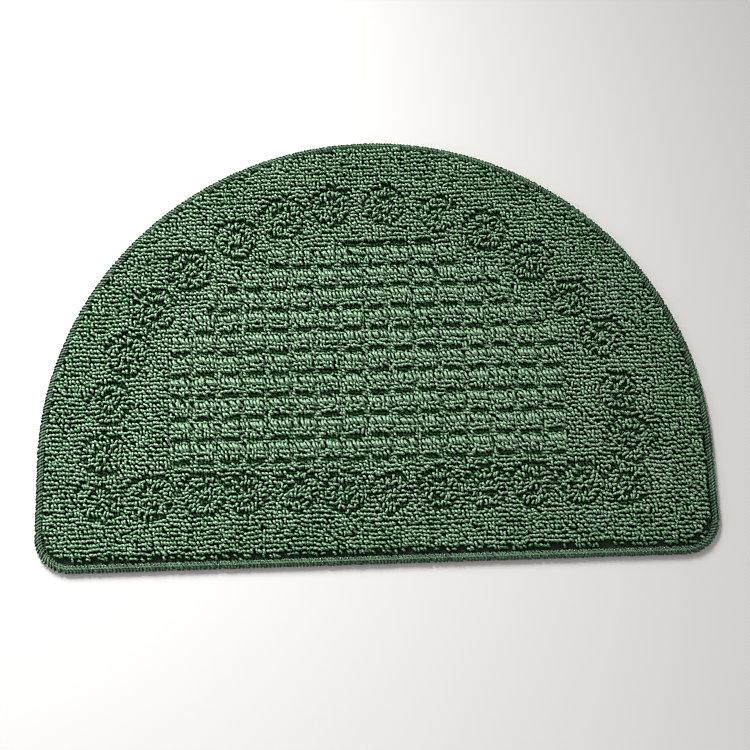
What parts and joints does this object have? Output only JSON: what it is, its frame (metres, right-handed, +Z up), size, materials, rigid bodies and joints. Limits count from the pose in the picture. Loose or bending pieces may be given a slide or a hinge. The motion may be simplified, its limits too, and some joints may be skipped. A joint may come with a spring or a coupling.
{
  "type": "doormat",
  "caption": "Half-round indoor doormat in tufted loop pile, sculpted with a rosette border and a field of square cushions, edge overlocked in yarn. Lies flat on a floor to take dirt off shoes.",
  "frame": {"origin": "on the floor, at the middle of the mat's length and depth", "axes": "+X along the straight edge, +Y from the straight edge towards the top of the arc, +Z up out of the pile"},
  "size_m": [0.6, 0.4, 0.0085],
  "materials": {
    "pile_yarn": "matt looped yarn",
    "edge_yarn": "tightly wrapped yarn"
  },
  "bodies": {
    "root": {"pile_mat": "pile_yarn", "overlock_edge": "edge_yarn"}
  },
  "joints": []
}
